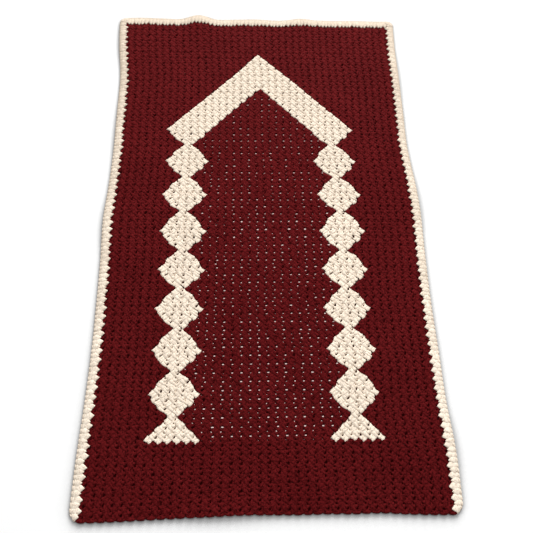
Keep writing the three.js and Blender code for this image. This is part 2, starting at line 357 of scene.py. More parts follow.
@dataclass(frozen=True)
class Chart:
    """The stitch chart: where each row and column lies, and which stitches are cream.

    Rows count from the foot, columns from the middle of the pattern. A stitch is placed
    by its notch, the inner corner between its own lower end and its neighbour's. The
    pattern is worked in whole stitches: each row has one more or one fewer than the last.
    """

    plan: Plan
    column_pitch: float = 17.23
    middle: float = -1.5
    # Of a stitch's notch from its column and row, in columns and rows
    right_notch: tuple[float, float] = (-0.12, 0.6)
    left_notch: tuple[float, float] = (0.22, 0.92)
    first_row: int = -1
    last_row: int = 132
    first_column: int = -21
    last_column: int = 20
    diamond_columns: float = 10.0
    base_row: int = 15
    first_neck: int = 20
    rows_per_diamond: int = 10
    arm_row: int = 95
    apex_row: int = 120
    inner_apex_row: int = 108
    panel_row: int = 14
    wave: float = 0.7
    bulge: float = 4.6
    bulge_at: float = 26.0
    # The push between a neck and a tip: a mean, and how it goes once and twice round from neck to neck
    bulge_shares: tuple[float, float, float] = (0.1, 0.55, -0.7)
    # Where a row's stitches are seen, above the place that its number gives
    seen_above: float = 1.0

    def lean(self, row: int) -> Lean:
        """The lean of a row's stitches."""
        return Lean.RIGHT if row % 2 else Lean.LEFT

    def along(self, row: np.ndarray | float) -> np.ndarray:
        """Distance of a row's place from the foot, in mm."""
        return np.interp(row, [mark.row for mark in ROW_MARKS], [mark.along for mark in ROW_MARKS])

    def across(self, column: np.ndarray | float) -> np.ndarray:
        """Distance across of a column's place, in mm."""
        return self.middle + np.asarray(column, float) * self.column_pitch

    def notch(self, row: int, column: int) -> tuple[float, float]:
        """The notch of a stitch, in mm across and along."""
        over, up = self.right_notch if self.lean(row) is Lean.RIGHT else self.left_notch
        return float(self.across(column + over)), float(self.along(row + up))

    def out(self, row: int, column: int) -> float:
        """Distance of a stitch's middle from the pattern's, in columns."""
        return abs(column + 0.5) if self.lean(row) is Lean.RIGHT else abs(column)

    def is_cream(self, row: int, out: float) -> bool:
        """Whether a stitch is cream.

        Args:
            row: Its row.
            out: Distance of its middle from the pattern's, in columns.

        Returns:
            True where the arch or a diamond lies.
        """
        if row >= self.arm_row:
            return self.inner_apex_row - row < 2 * out <= self.apex_row - row
        from_middle = 2 * abs(out - self.diamond_columns)
        if row >= self.first_neck:
            half = self.rows_per_diamond // 2
            return from_middle <= half - abs((row - self.first_neck) % self.rows_per_diamond - half)
        return row >= self.base_row and from_middle <= self.first_neck - row

    def in_panel(self, row: int, out: float) -> bool:
        """Whether a stitch is in the plain panel inside the arch, which has pin holes.

        Args:
            row: Its row.
            out: Distance of its middle from the pattern's, in columns.

        Returns:
            True inside the panel.
        """
        if row < self.panel_row or out >= self.diamond_columns or self.is_cream(row, out):
            return False
        return row < self.arm_row or 2 * out <= self.inner_apex_row - row

    def by_hand(self, points: np.ndarray) -> np.ndarray:
        """Lets the rows and columns wander as they do in hand work.

        Args:
            points: Points of the even chart, in mm.

        Returns:
            The points of the straight plan.
        """
        x, y, z = points.T
        step = COLUMN_STRAY[1].along - COLUMN_STRAY[0].along
        left = smooth_table(0, step, (s.left for s in COLUMN_STRAY), y)
        middle = smooth_table(0, step, (s.middle for s in COLUMN_STRAY), y)
        right = smooth_table(0, step, (s.right for s in COLUMN_STRAY), y)
        reach = self.diamond_columns * self.column_pitch
        share = bell(np.abs(x) - reach, reach)
        wander = np.where(x < 0, left, right) * share + middle * bell(x, reach) + self._diamond_bulge(x, y)
        # Waves of unlike lengths, so that no two rows and no two columns wander alike
        swing = np.sin(x / 61.0 + 1.7 * np.sin(y / 143.0)) + 0.6 * np.sin(x / 23.0 + y / 31.0)
        up = self.wave * swing * bell(y - self.plan.length / 2, self.plan.length / 2)
        over = self.wave * np.sin(y / 37.0 + 1.3 * np.sin(x / 90.0))
        return np.column_stack([x + wander + over, y + up, z])

    def _diamond_bulge(self, x: np.ndarray, y: np.ndarray) -> np.ndarray:
        """How far the plump stitches of the diamonds push outwards, which rounds their sides and tips.

        Args:
            x: Distances across, in mm.
            y: Distances from the foot, in mm.

        Returns:
            The push across at each place, in mm: out between a neck and a tip, and in at a tip.
        """
        row = np.interp(y, [mark.along for mark in ROW_MARKS], [mark.row for mark in ROW_MARKS]) - self.seen_above
        turn = 2 * math.pi * (row - self.first_neck) / self.rows_per_diamond
        mean, once, twice = self.bulge_shares
        push = mean + once * np.cos(turn) + twice * np.cos(2 * turn)
        push = push * np.clip((row - self.first_neck + 1) / 2, 0, 1) * np.clip((self.arm_row - row) / 2, 0, 1)
        axis = self.middle + np.sign(x) * self.diamond_columns * self.column_pitch
        from_axis = (x - axis) / self.bulge_at
        return self.bulge * push * from_axis * np.exp((1 - from_axis**2) / 2)


class Station(NamedTuple):
    """One cross-section of a strand, in mm."""

    at: float
    aside: float
    half_width: float
    height: float
    half_height: float


# One turn round a strand's section, as shares of its half-width and half-height: flattened by its neighbours
SECTION = (
    (1.0, 0.0),
    (0.74, 0.76),
    (0.0, 1.0),
    (-0.74, 0.76),
    (-1.0, 0.0),
    (-0.74, -0.76),
    (0.0, -1.0),
    (0.74, -0.76),
)


@dataclass(frozen=True)
class Strand:
    """A thick strand of yarn between two points of a stitch, thinning to both ends.

    Its stations are measured from its start towards its end, and a station's sideways
    offset is to the right of that direction.
    """

    start: tuple[float, float]
    direction: tuple[float, float]
    stations: tuple[Station, ...]

    def build(self, bm: bmesh.types.BMesh) -> list[bmesh.types.BMVert]:
        """Adds the strand to a mesh as a grid rolled into a tube.

        Args:
            bm: The mesh that takes it.

        Returns:
            Its vertices.
        """
        sides = len(SECTION)
        steps = len(self.stations) - 1
        uv = bm.loops.layers.uv.verify()
        made = bmesh.ops.create_grid(bm, x_segments=sides, y_segments=steps, size=0.5, calc_uvs=True)
        verts = made["verts"]
        xs = [v.co.x for v in verts]
        ys = [v.co.y for v in verts]
        span_x = max(xs) - min(xs)
        span_y = max(ys) - min(ys)
        low_x = min(xs)
        low_y = min(ys)
        along = Vector(self.direction).normalized()
        aside = Vector((along.y, -along.x))
        origin = Vector(self.start)
        places = {}
        for v in verts:
            turn = round((v.co.x - low_x) / span_x * sides)
            station = self.stations[round((v.co.y - low_y) / span_y * steps)]
            side, up = SECTION[turn % sides]
            flat = origin + along * station.at + aside * (station.aside + side * station.half_width)
            v.co = (flat.x, flat.y, station.height + up * station.half_height)
            places[v] = (turn / sides, station.at)
        for face in {f for v in verts for f in v.link_faces}:
            for loop in face.loops:
                loop[uv].uv = places[loop.vert]
        bmesh.ops.remove_doubles(bm, verts=verts, dist=1e-4)
        return [v for v in verts if v.is_valid]


def finished_mesh(name: str, build: Callable[[bmesh.types.BMesh], None]) -> bpy.types.Object:
    """Makes an object from a bmesh, smooth, closed and facing out.

    Args:
        name: The object's name.
        build: Fills the bmesh.

    Returns:
        The new object, linked to the scene.
    """
    bm = bmesh.new()
    build(bm)
    bmesh.ops.recalc_face_normals(bm, faces=bm.faces)
    for face in bm.faces:
        face.smooth = True
    mesh = bpy.data.meshes.new(name)
    bm.to_mesh(mesh)
    bm.free()
    made = bpy.data.objects.new(name, mesh)
    bpy.context.scene.collection.objects.link(made)
    return made


def lay_out(
    mesh: bpy.types.Mesh, plan: Plan, reshape: Callable[[np.ndarray], np.ndarray] | None = None,
) -> np.ndarray:
    """Takes a mesh from the straight plan, in millimetres, to where it lies, in metres.

    Args:
        mesh: The mesh.
        plan: The plan that it is drawn on.
        reshape: Moves the straight plan's points before they are laid out, if given.

    Returns:
        The height that each point had in the cloth, in mm.
    """
    flat = np.empty(len(mesh.vertices) * 3, np.float32)
    mesh.vertices.foreach_get("co", flat)
    points = flat.reshape(-1, 3).astype(float)
    heights = points[:, 2].copy()
    if reshape is not None:
        points = reshape(points)
    laid = plan.laid_out(points[:, 0], points[:, 1], points[:, 2]) * MM
    mesh.vertices.foreach_set("co", laid.astype(np.float32).ravel())
    mesh.update()
    return heights


@dataclass
class StitchPlaces:
    """Where copies of the stitch templates go, each with its own turn, size and shade."""

    places: list[tuple[float, float, float]] = field(default_factory=list)
    kinds: list[FieldPart | EdgePart] = field(default_factory=list)
    turns: list[float] = field(default_factory=list)
    sizes: list[tuple[float, float, float]] = field(default_factory=list)
    shades: list[float] = field(default_factory=list)

    def add(
        self,
        place: tuple[float, float],
        kind: FieldPart | EdgePart,
        shade: float,
        turn: float = 0.0,
        size: tuple[float, float, float] = (1.0, 1.0, 1.0),
    ) -> None:
        """Adds one copy.

        Args:
            place: Its place across and along, in mm.
            kind: Which strand it copies.
            shade: From 0, dark, to 1, light.
            turn: Its turn in the plan, in radians.
            size: Its size across, along and up, as shares of the template's.
        """
        self.places.append((place[0], place[1], 0.0))
        self.kinds.append(kind)
        self.turns.append(turn)
        self.sizes.append(size)
        self.shades.append(shade)


class StitchWorker:
    """Copies stitch templates onto places, and lays the result out as the mat lies."""

    def __init__(self, plan: Plan, strands: dict[FieldPart | EdgePart, Strand]) -> None:
        """Builds the templates and keeps them in a collection of their own.

        Args:
            plan: The plan that the stitches are laid out on.
            strands: The strands to copy.
        """
        self.plan = plan
        self.library = bpy.data.collections.new("stitch_templates")
        self.number = {part: number for number, part in enumerate(strands)}
        for part, strand in strands.items():
            template = finished_mesh(f"template_{self.number[part]:02d}", strand.build)
            bpy.context.scene.collection.objects.unlink(template)
            self.library.objects.link(template)
        self.nodes = self._copying_nodes()

    def _copying_nodes(self) -> bpy.types.NodeTree:
        """Makes the nodes that put a template on each point and make the copies real.

        Returns:
            The node group, which reads a kind, a turn and a size from each point.
        """
        tree = bpy.data.node_groups.new("work_stitches", "GeometryNodeTree")
        tree.interface.new_socket(name="Places", in_out="INPUT", socket_type="NodeSocketGeometry")
        tree.interface.new_socket(name="Worked", in_out="OUTPUT", socket_type="NodeSocketGeometry")
        source = tree.nodes.new("NodeGroupInput")
        result = tree.nodes.new("NodeGroupOutput")
        library = tree.nodes.new("GeometryNodeCollectionInfo")
        library.inputs["Collection"].default_value = self.library
        library.inputs["Separate Children"].default_value = True
        library.inputs["Reset Children"].default_value = True
        copies = tree.nodes.new("GeometryNodeInstanceOnPoints")
        copies.inputs["Pick Instance"].default_value = True
        real = tree.nodes.new("GeometryNodeRealizeInstances")
        for name, kind, socket in (
            ("kind", "INT", "Instance Index"),
            ("turn", "FLOAT_VECTOR", "Rotation"),
            ("size", "FLOAT_VECTOR", "Scale"),
        ):
            read = tree.nodes.new("GeometryNodeInputNamedAttribute")
            read.data_type = kind
            read.inputs["Name"].default_value = name
            tree.links.new(read.outputs["Attribute"], copies.inputs[socket])
        tree.links.new(source.outputs["Places"], copies.inputs["Points"])
        tree.links.new(library.outputs["Instances"], copies.inputs["Instance"])
        tree.links.new(copies.outputs["Instances"], real.inputs["Geometry"])
        tree.links.new(real.outputs["Geometry"], result.inputs["Worked"])
        return tree

    def work(
        self,
        name: str,
        stitches: StitchPlaces,
        reshape: Callable[[np.ndarray], np.ndarray] | None = None,
    ) -> bpy.types.Object:
        """Makes one piece of worked yarn.

        Args:
            name: The piece's name.
            stitches: Where its stitches go.
            reshape: Moves the straight plan's points before they are laid out, if given.

        Returns:
            The finished piece, in metres, at the origin.
        """
        count = len(stitches.places)
        bm = bmesh.new()
        for place in stitches.places:
            bm.verts.new(place)
        points = bpy.data.meshes.new(f"{name}_places")
        bm.to_mesh(points)
        bm.free()
        turns = np.zeros((count, 3), np.float32)
        turns[:, 2] = stitches.turns
        for label, kind, values in (
            ("kind", "INT", np.array([self.number[k] for k in stitches.kinds], np.int32)),
            ("turn", "FLOAT_VECTOR", turns),
            ("size", "FLOAT_VECTOR", np.array(stitches.sizes, np.float32)),
            ("shade", "FLOAT", np.array(stitches.shades, np.float32)),
        ):
            layer = points.attributes.new(label, kind, "POINT")
            layer.data.foreach_set("vector" if kind == "FLOAT_VECTOR" else "value", values.ravel())
        carrier = bpy.data.objects.new(f"{name}_carrier", points)
        bpy.context.scene.collection.objects.link(carrier)
        modifier = carrier.modifiers.new("work", "NODES")
        modifier.node_group = self.nodes
        graph = bpy.context.evaluated_depsgraph_get()
        mesh = bpy.data.meshes.new_from_object(carrier.evaluated_get(graph), depsgraph=graph)
        bpy.data.objects.remove(carrier)
        bpy.data.meshes.remove(points)
        mesh.name = name
        heights = lay_out(mesh, self.plan, reshape)
        # The height share of each point, from which the yarn's materials paint shade low in the cloth
        depth = mesh.attributes.new("depth", "FLOAT", "POINT")
        depth.data.foreach_set("value", np.clip(heights / self.plan.thickness, 0, 1).astype(np.float32))
        mesh.polygons.foreach_set("use_smooth", np.ones(len(mesh.polygons), bool))
        piece = bpy.data.objects.new(name, mesh)
        bpy.context.scene.collection.objects.link(piece)
        return piece

    def put_away(self) -> None:
        """Removes the templates and the copying nodes."""
        for template in list(self.library.objects):
            bpy.data.meshes.remove(template.data)
        bpy.data.collections.remove(self.library)
        bpy.data.node_groups.remove(self.nodes)


class Opening(Enum):
    """How far a stitch's side is drawn in at the slit beside it, in mm.

    Where the yarn changes there is no slit, and the upper ends stop short under the row above.
    """

    CLOSED = 0.8
    TIGHT = 2.4
    PLAIN = 3.2
    OPEN = 3.7


class SlitMix(NamedTuple):
    """The shares of a group's slits that are open and plain. The rest are tight."""

    open: float
    plain: float

    def pick(self, lot: float) -> Opening:
        """Draws one slit's opening.

        Args:
            lot: Random, from 0 to 1.

        Returns:
            The opening.
        """
        if lot < self.open:
            return Opening.OPEN
        return Opening.PLAIN if lot < self.open + self.plain else Opening.TIGHT


PANEL_SLITS = {Lean.RIGHT: SlitMix(0.4, 0.6), Lean.LEFT: SlitMix(0.0, 0.35)}
CREAM_SLITS = {Lean.RIGHT: SlitMix(0.0, 0.9), Lean.LEFT: SlitMix(0.0, 0.65)}
OUTER_SLITS = SlitMix(0.4, 0.4)


class FieldPart(NamedTuple):
    """One of the strands that the field's stitches are made of."""

    lean: Lean
    second: bool
    opening: Opening


class EdgePart(Enum):
    """One of the strands that the edges are made of."""

    LONG_TOOTH = "long_tooth"
    SHORT_TOOTH = "short_tooth"
    HEAD_TOOTH = "head_tooth"
    OUTER_LINK = "outer_link"
    INNER_LINK = "inner_link"
    FOOT_LINK = "foot_link"
    TAIL = "tail"


@dataclass(frozen=True)
class FieldStitch:
    """One leaning stitch of the field: two strands side by side, from its notch.

    The first strand starts beside the notch and the second beyond it, and the second
    reaches lower, so that a row's lower ends make teeth. A slit opens on the outer side
    of each strand, beside the notch, where the hook went in.
    """

    lean: Lean
    slit_at: float
    slit_reach: float
    first_start: float
    second_start: float
    tip_skew: float
    top_reach: float
    closed_reach: float
    first_reach: float = 10.4
    strand_spacing: float = 6.09
    pitch_along_lean: float = 12.18
    half_width: float = 4.7

    def strand(self, second: bool, opening: Opening) -> Strand:
        """One strand of the stitch.

        Args:
            second: The strand beyond the first one.
            opening: How wide its slit is.

        Returns:
            The strand, in the stitch's own plan.
        """
        width = self.half_width
        drawn = opening.value / 2
        slit = self.slit_at
        reach = self.slit_reach
        if second:
            slit += self.pitch_along_lean
            top = slit + (self.closed_reach if opening is Opening.CLOSED else self.top_reach)
            stations = (
                Station(self.second_start, self.tip_skew, 0.0, 5.6, 0.0),
                Station(self.second_start + 1.9, self.tip_skew * 0.45, width - 2.0, 5.2, 2.0),
                Station(6.5, 0.0, width, 4.6, 2.4),
                Station(slit - reach, 0.0, width, 3.7, 2.3),
                Station(slit, -drawn, width - drawn, 3.0, 2.1),
                Station(top - 1.4, 0.0, width - 1.0, 2.2, 1.8),
                Station(top, 0.0, 0.0, 2.0, 0.0),
            )
            if opening is Opening.CLOSED:
                stations = (*stations[:3], Station(top - 3.0, 0.0, width - 0.8, 3.4, 2.4), stations[-1])
        else:
            stations = (
                Station(self.first_start, 0.5, 0.0, 5.3, 0.0),
                Station(self.first_start + 1.7, 0.3, width - 0.7, 5.0, 2.1),
                Station(slit - reach, 0.0, width, 4.7, 2.4),
                Station(slit, drawn, width - drawn, 4.4, 2.3),
                Station(slit + reach, 0.0, width, 3.9, 2.3),
                Station(slit + self.first_reach, 0.0, 0.0, 2.2, 0.0),
            )
        sign = self.lean.value
        stations = tuple(s._replace(aside=sign * s.aside) for s in stations)
        offset = self.strand_spacing * (1.5 if second else 0.5) * math.sqrt(0.5)
        return Strand((sign * offset, -offset), (sign, 1.0), stations)


RIGHT_STITCH = FieldStitch(
    Lean.RIGHT, slit_at=7.6, slit_reach=4.6, first_start=0.6, second_start=0.4, tip_skew=2.0, top_reach=6.0,
    closed_reach=-3.5)
LEFT_STITCH = FieldStitch(
    Lean.LEFT, slit_at=4.8, slit_reach=2.6, first_start=-1.6, second_start=-4.4, tip_skew=1.0, top_reach=3.4,
    closed_reach=-4.5)


def tooth_strand(reach: float, root: float, half_width: float, flare: float, lean: float) -> Strand:
    """The strand of one edging stitch, from its pointed tooth's tip out to the chain.

    Args:
        reach: Depth of the tip from the outer edge, in mm.
        root: Depth of the other end.
        half_width: Of the stitch at its widest.
        flare: How fast its half-width grows from the tip.
        lean: How far the tip is ahead of the other end along the edge.

    Returns:
        The strand, with the edge along X and depth along Y.
    """
    length = reach - root
    stations = (
        Station(0.0, 0.0, 0.0, 6.2, 0.0),
        Station(length * 0.12, 0.0, flare * length * 0.12, 5.7, 1.3),
        Station(length * 0.3, 0.0, flare * length * 0.3, 5.2, 1.9),
        Station(length * 0.5, 0.0, half_width, 4.6, 2.1),
        Station(length * 0.85, 0.0, half_width * 0.9, 3.9, 2.0),
        Station(length, 0.0, 0.0, 3.5, 0.0),
    )
    return Strand((lean / 2, reach), (-lean, -length), stations)


def link_strand(
    start: tuple[float, float], end: tuple[float, float], half_width: float, height: float = 3.8,
) -> Strand:
    """One loop of a chain, plump in the middle.

    Args:
        start: Its hidden end.
        end: The end that lies over the next loop's start.
        half_width: Its half-width in the middle.
        height: Of its middle line.

    Returns:
        The strand.
    """
    run = Vector(end) - Vector(start)
    length = run.length
    stations = (
        Station(0.0, 0.0, 0.0, height - 0.6, 0.0),
        Station(length * 0.2, 0.0, half_width * 0.8, height - 0.3, height * 0.58),
        Station(length * 0.5, 0.0, half_width, height, height * 0.76),
        Station(length * 0.8, 0.0, half_width * 0.85, height, height * 0.66),
        Station(length, 0.0, 0.0, height - 0.4, 0.0),
    )
    return Strand(start, (run.x, run.y), stations)


def stitch_templates() -> dict[FieldPart | EdgePart, Strand]:
    """Every strand that the mat is worked from.

    Returns:
        The strands, by what they are part of.
    """
    strands: dict[FieldPart | EdgePart, Strand] = {}
    for stitch in (RIGHT_STITCH, LEFT_STITCH):
        for second in (False, True):
            for opening in Opening:
                strands[FieldPart(stitch.lean, second, opening)] = stitch.strand(second, opening)
    strands[EdgePart.LONG_TOOTH] = tooth_strand(24.5, 3.0, half_width=10.0, flare=0.9, lean=2.4)
    strands[EdgePart.SHORT_TOOTH] = tooth_strand(19.8, 3.0, half_width=8.4, flare=0.9, lean=1.6)
    strands[EdgePart.HEAD_TOOTH] = tooth_strand(29.0, 3.0, half_width=8.0, flare=0.62, lean=1.0)
    strands[EdgePart.OUTER_LINK] = link_strand((-6.0, 4.8), (6.0, 2.8), 2.4, height=2.7)
    strands[EdgePart.INNER_LINK] = link_strand((-6.0, 5.0), (6.0, 8.0), 2.4, height=3.6)
    strands[EdgePart.FOOT_LINK] = link_strand((-9.6, 2.8), (9.6, 2.8), 3.6)
    strands[EdgePart.TAIL] = link_strand((7.0, 5.5), (-1.3, -0.6), 1.8)
    return strands


@dataclass
class FieldYarn:
    """The field's stitches, in burgundy with the cream arch and diamonds worked in."""

    plan: Plan
    chart: Chart
    worker: StitchWorker
    seed: int = 11
    jitter: float = 0.35
    turn_jitter: float = 0.04
    height_jitter: float = 0.04
    edge_tuck: float = 14.0
    head_tuck: float = 19.0
    tuck_length: float = 8.0
    foot_tuck: float = 7.0
    tuck_flattening: float = 0.62
    strand_middles: tuple[float, float] = (0.45, 0.9)
    rim_overlap: float = 0.4
    keep_across: float = 341.0
    keep_foot: float = 1.2
    keep_head: float = 9.0
    # Bands of rows, each a piece of its own, and the row above the last one of each
    bands: tuple[tuple[str, int], ...] = (
        ("foot_rows", 15),
        ("lower_rows", 48),
        ("middle_rows", 80),
        ("upper_rows", 108),
        ("head_rows", 133),
    )

    def build(self) -> tuple[list[bpy.types.Object], list[bpy.types.Object]]:
        """Works the whole field.

        Returns:
            The burgundy pieces and the cream pieces.
        """
        random = np.random.RandomState(self.seed)
        burgundy = {name: StitchPlaces() for name, _ in self.bands}
        cream = {name: StitchPlaces() for name in ("arch", "left_diamonds", "right_diamonds")}
        for row in range(self.chart.first_row, self.chart.last_row + 1):
            band = next(name for name, end in self.bands if row < end)
            self._work_row(row, random, burgundy[band], cream)
        burgundy_pieces = [self.worker.work(n, s, self._reshape) for n, s in burgundy.items()]
        cream_pieces = [self.worker.work(n, s, self._reshape) for n, s in cream.items()]
        return burgundy_pieces, cream_pieces

    def _work_row(
        self,
        row: int,
        random: np.random.RandomState,
        burgundy: StitchPlaces,
        cream: dict[str, StitchPlaces],
    ) -> None:
        """Places one row's strands, each with the yarn that the chart gives it.

        Args:
            row: The row.
            random: The source of chance.
            burgundy: Takes the burgundy strands.
            cream: Takes the cream strands, by piece.
        """
        chart = self.chart
        lean = chart.lean(row)
        columns = range(chart.first_column, chart.last_column + 1)
        openings = {column: self._opening(row, column, random) for column in columns}
        for column in columns:
            x, y = chart.notch(row, column)
            dx, dy = random.normal(0, self.jitter, 2)
            turn = random.normal(0, self.turn_jitter)
            size = (1.0, 1.0, 1.0 - abs(random.normal(0, self.height_jitter)))
            shade = random.uniform()
            target = burgundy
            if chart.is_cream(row, chart.out(row, column)):
                side = "left_diamonds" if column < 0 else "right_diamonds"
                target = cream["arch" if row >= chart.arm_row else side]
            for second in (False, True):
                middle = x + lean.value * self.strand_middles[second] * chart.column_pitch
                own_shade = 0.6 * shade + 0.4 * random.uniform()
                if abs(middle) > self.plan.field_half_width + self.rim_overlap * chart.column_pitch:
                    continue
                slit = column + lean.value if second else column
                part = FieldPart(lean, second, openings.get(slit, Opening.PLAIN))
                target.add((x + dx, y + dy), part, own_shade, turn, size)

    def _opening(self, row: int, column: int, random: np.random.RandomState) -> Opening:
        """Draws how wide the slit is beside a stitch's notch.

        Args:
            row: The stitch's row.
            column: Its column.
            random: The source of chance.

        Returns:
            The opening.
        """
        chart = self.chart
        lean = chart.lean(row)
        outs = [chart.out(row, c) for c in (column, column - lean.value)]
        lot = random.uniform()
        if all(chart.in_panel(row, out) for out in outs):
            return PANEL_SLITS[lean].pick(lot)
        creams = [chart.is_cream(row, out) for out in outs]
        if all(creams):
            return CREAM_SLITS[lean].pick(lot)
        return Opening.CLOSED if any(creams) else OUTER_SLITS.pick(lot)

    def _reshape(self, points: np.ndarray) -> np.ndarray:
        """Wanders the rows, and tucks the field's rim under its edging and foot chain.

        Args:
            points: Points of the even chart, in mm.

        Returns:
            The points of the straight plan.
        """
        x, y, z = self.chart.by_hand(points).T
        side = np.abs(x) - (self.plan.field_half_width - self.edge_tuck)
        head = y - (self.plan.field_length - self.head_tuck)
        rim = np.clip(np.maximum(side, head) / self.tuck_length, 0, 1)
        foot = np.clip((self.foot_tuck - y) / self.foot_tuck, 0, 1)
        tuck = np.maximum(rim, foot)
        middle = self.plan.thickness * 0.45
        z = middle + (z - middle) * (1 - self.tuck_flattening * tuck)
        x = np.clip(x, -self.keep_across, self.keep_across)
        y = np.clip(y, self.keep_foot, self.plan.length - self.keep_head)
        return np.column_stack([x, y, z])


@dataclass(frozen=True)
class EdgePath:
    """The mat's outer edge, from its left foot end, over the head, to its right foot end."""

    plan: Plan
    foot_end: float = 5.0
    corner_radius: float = 18.0

    def at(self, distance: float) -> tuple[float, float, float, bool]:
        """A point of the outer edge.

        Args:
            distance: How far along the edge it is, in mm.

        Returns:
            Its place across and along, the turn of the edge there in radians, and
            whether it is on a corner.
        """
        radius = self.corner_radius
        half = self.plan.width / 2
        side = self.plan.length - radius - self.foot_end
        arc = radius * math.pi / 2
        head = self.plan.width - 2 * radius
        if distance < side:
            return -half, self.foot_end + distance, math.pi / 2, False
        distance -= side
        if distance < arc:
            return self._on_corner(-half + radius, math.pi - distance / radius)
        distance -= arc
        if distance < head:
            return -half + radius + distance, self.plan.length, 0.0, False
        distance -= head
        if distance < arc:
            return self._on_corner(half - radius, math.pi / 2 - distance / radius)
        distance -= arc
        return half, self.plan.length - radius - distance, -math.pi / 2, False

    def _on_corner(self, middle: float, angle: float) -> tuple[float, float, float, bool]:
        """A point of a rounded corner at the head.

        Args:
            middle: Distance across of the corner's own centre.
            angle: Of the point round that centre, in radians.

        Returns:
            What `at` returns.
        """
        radius = self.corner_radius
        y = self.plan.length - radius + radius * math.sin(angle)
        return middle + radius * math.cos(angle), y, angle - math.pi / 2, True

    @property
    def total(self) -> float:
        """Length of the whole edge, in mm."""
        sides = 2 * (self.plan.length - self.corner_radius - self.foot_end)
        return sides + math.pi * self.corner_radius + self.plan.width - 2 * self.corner_radius


@dataclass
class EdgingYarn:
    """The cream edging: slanting stitches with toothed inner ends, and a chain outside."""

    plan: Plan
    worker: StitchWorker
    path: EdgePath
    stitch_pitch: float = 8.95
    seed: int = 23
    corner_depth: float = 0.62
    # The edge turns less than this from straight across, in radians, along the head and on half of each corner
    head_turn: float = 1.0

    def build(self) -> tuple[bpy.types.Object, bpy.types.Object]:
        """Works the edging.

        Returns:
            The stitches and the chain along their outer ends.
        """
        random = np.random.RandomState(self.seed)
        stitches = StitchPlaces()
        chain = StitchPlaces()
        count = round(self.path.total / self.stitch_pitch)
        pitch = self.path.total / count
        for number in range(count):
            x, y, turn, corner = self.path.at((number + 0.5) * pitch)
            shade = random.uniform()
            wobble = random.normal(0, 0.05)
            depth = (self.corner_depth if corner else 1.0) * random.uniform(0.95, 1.04)
            kind = EdgePart.LONG_TOOTH if number % 2 else EdgePart.SHORT_TOOTH
            if abs(turn) < self.head_turn:
                kind = EdgePart.HEAD_TOOTH
            size = (pitch / self.stitch_pitch, -depth, 1.0)
            stitches.add((x, y), kind, shade, turn + wobble, size)
            # Painted shade: the chain takes only the darker tones, so the outer rim is tan
            for link in (EdgePart.OUTER_LINK, EdgePart.INNER_LINK):
                chain.add((x, y), link, random.uniform(0.0, 0.4), turn, (pitch / self.stitch_pitch, -1.0, 1.0))
        return self.worker.work("edging_stitches", stitches), self.worker.work("edging_chain", chain)


@dataclass
class FootChain:
    """The bare foot edge: one plump loop to a stitch, which scallops it."""

    plan: Plan
    chart: Chart
    worker: StitchWorker
    seed: int = 31

    def build(self) -> bpy.types.Object:
        """Works the chain.

        Returns:
            The chain.
        """
        random = np.random.RandomState(self.seed)
        links = StitchPlaces()
        half = self.plan.field_half_width
        count = round(2 * half / self.chart.column_pitch)
        for number in range(count):
            x = -half + (number + 0.5) * 2 * half / count
            links.add((x, 0.0), EdgePart.FOOT_LINK, random.uniform(), random.normal(0, 0.03))
        return self.worker.work("foot_chain", links)


@dataclass
class PatternTails:
    """Short cream loops that stick out where the cream yarn comes in, on the left."""

    chart: Chart
    worker: StitchWorker
    seed: int = 41

    def build(self) -> bpy.types.Object:
        """Works the loops.

        Returns:
            The loops, as one piece.
        """
        random = np.random.RandomState(self.seed)
        tails = StitchPlaces()
        chart = self.chart
        widest = range(chart.base_row, chart.arm_row + 1, chart.rows_per_diamond)
        for row in widest:
            for side in (-1, 1):
                if row == chart.arm_row and side == 1:
                    continue
                column = round(side * chart.diamond_columns) - 3
                tails.add(chart.notch(row, column), EdgePart.TAIL, random.uniform(0.4, 1), random.normal(0, 0.15))
        return self.worker.work("pattern_tails", tails, chart.by_hand)


